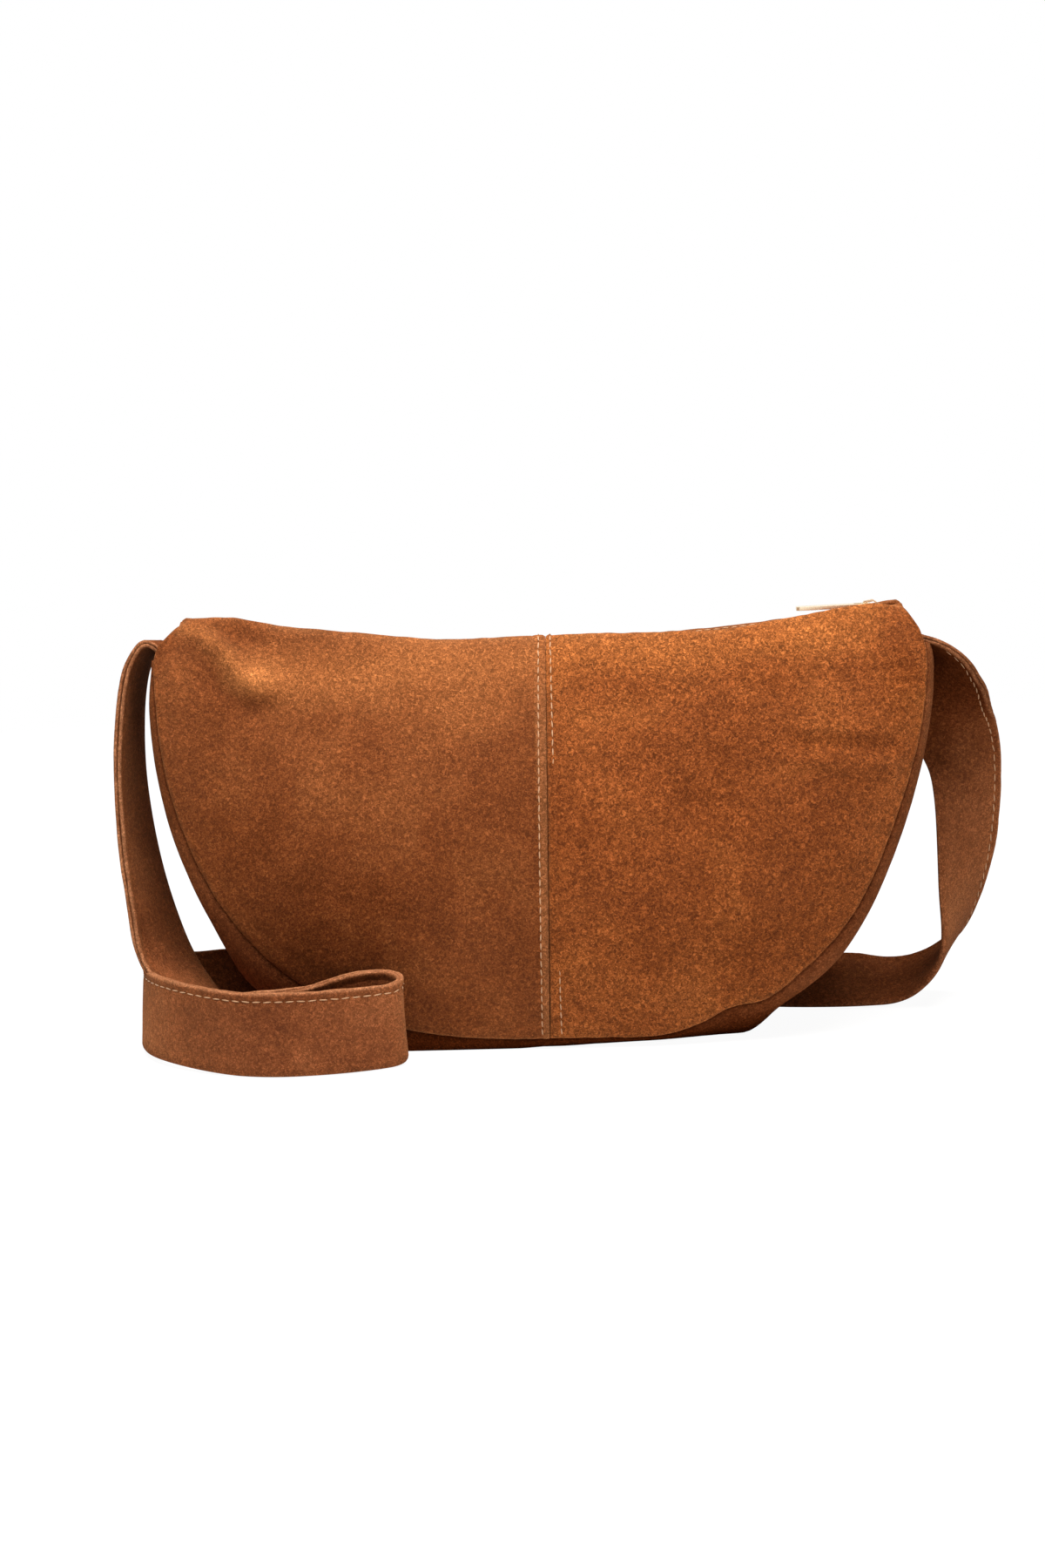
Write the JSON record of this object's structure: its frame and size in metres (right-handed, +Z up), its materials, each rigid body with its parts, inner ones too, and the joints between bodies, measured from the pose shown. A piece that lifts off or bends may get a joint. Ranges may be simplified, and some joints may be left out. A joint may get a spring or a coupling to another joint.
{
  "type": "half_moon_shoulder_bag",
  "caption": "Half-moon suede shoulder bag with a curved zip top, a moving slider and pull tab, and a long folded strap lying round it on the floor.",
  "frame": {"origin": "centre of the flat base, on the floor that the bag stands on", "axes": "+X runs along the zip towards its closed end, +Y from the front to the back, +Z up"},
  "size_m": [0.42, 0.1563, 0.2014],
  "materials": {
    "suede_smooth": "short-napped suede, matt",
    "suede_coarse": "long-napped suede, matt",
    "suede_dark": "suede, matt and in shade",
    "tape": "woven zip tape, matt",
    "metal_gold": "pale gold plating, polished"
  },
  "bodies": {
    "bag": {"front_panel_left": "suede_smooth", "front_panel_right": "suede_coarse", "back_panel": "suede_smooth", "gusset": "suede_dark", "strap": "suede_dark", "zip_tape_front": "tape", "zip_tape_back": "tape", "zip_teeth_front": "metal_gold", "zip_teeth_back": "metal_gold", "zip_top_stop_front": "metal_gold", "zip_top_stop_back": "metal_gold", "zip_bottom_stop": "metal_gold"},
    "slider": {"zip_slider": "metal_gold"},
    "pull": {"zip_pull": "metal_gold"}
  },
  "joints": [
    {"name": "zip_slide", "type": "hinge", "parent": "bag", "child": "slider", "pos_m": [0, 0, 1.08825], "axis": [0, 1, 0], "range_deg": [0, 18.5], "deforming": ["zip_teeth_front", "zip_teeth_back", "zip_tape_front", "zip_tape_back"]},
    {"name": "pull_swing", "type": "hinge", "parent": "slider", "child": "pull", "pos_m": [0.15262, 0, 0.19878], "axis": [0, 1, 0], "range_deg": [0, 165]}
  ]
}
